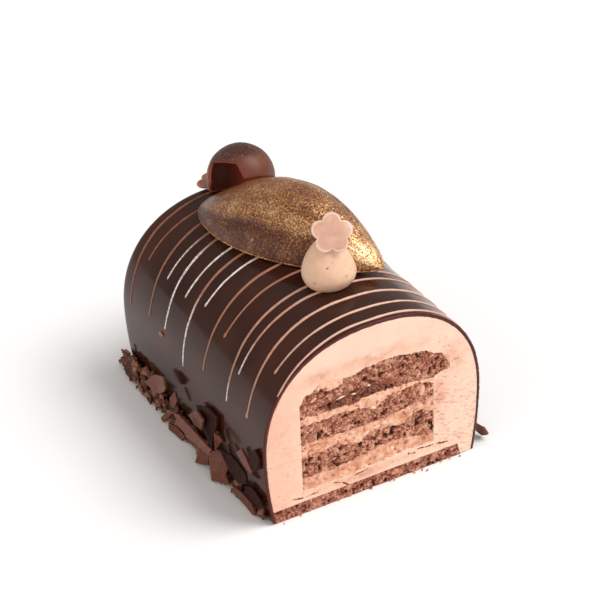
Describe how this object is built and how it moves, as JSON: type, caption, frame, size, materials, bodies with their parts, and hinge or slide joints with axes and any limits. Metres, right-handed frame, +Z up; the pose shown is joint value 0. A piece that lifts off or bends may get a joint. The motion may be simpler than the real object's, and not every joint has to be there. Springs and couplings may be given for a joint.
{
  "type": "yule log cake",
  "caption": "Half of a chocolate-glazed mousse log, cut to show its layered sponge insert, topped with a gilded cocoa pod, a hollow dome, a cream dollop and flower plaques.",
  "frame": {"origin": "middle of the log's flat underside, on the board it stands on", "axes": "+Y along the log from the cut face to the glazed far end, +Z up, +X to the right seen from the cut face"},
  "size_m": [0.1063, 0.1249, 0.0998],
  "materials": {
    "mirror_glaze": "mirror-glossy dark chocolate glaze",
    "mousse": "cut milk chocolate mousse with fine pores",
    "sponge": "open, crumbly chocolate sponge",
    "insert_cream": "smooth caramel cream",
    "pod_chocolate": "moulded chocolate brushed with gold lustre",
    "dark_chocolate": "thin moulded chocolate",
    "milk_chocolate": "satin pink-brown chocolate",
    "piped_cream": "smooth matt piped cream",
    "shavings": "broken chocolate, satin with dark shadows"
  },
  "bodies": {
    "root": {"glaze": "mirror_glaze", "mousse": "mousse", "insert_sponge_top": "sponge", "insert_cream_top": "insert_cream", "insert_sponge_middle": "sponge", "insert_cream_middle": "insert_cream", "insert_sponge_bottom": "sponge", "insert_cream_bottom": "insert_cream", "base_sponge": "sponge", "cocoa_pod": "pod_chocolate", "chocolate_dome": "dark_chocolate", "cream_dollop": "piped_cream", "flower_front": "milk_chocolate", "flower_rear": "milk_chocolate", "shavings_left": "shavings", "shavings_right": "shavings", "shard_left_01": "shavings", "shard_left_02": "shavings", "shard_left_03": "shavings", "shard_left_04": "shavings", "shard_left_05": "shavings", "shard_left_06": "shavings", "shard_left_07": "shavings", "shard_left_08": "shavings", "shard_left_09": "shavings", "shard_left_10": "shavings", "shard_left_11": "shavings", "shard_left_12": "shavings", "shard_left_13": "shavings", "shard_left_14": "shavings", "shard_right_01": "shavings", "shard_right_02": "shavings", "shard_right_03": "shavings", "shard_right_04": "shavings", "shard_right_05": "shavings", "shard_right_06": "shavings"}
  },
  "joints": []
}
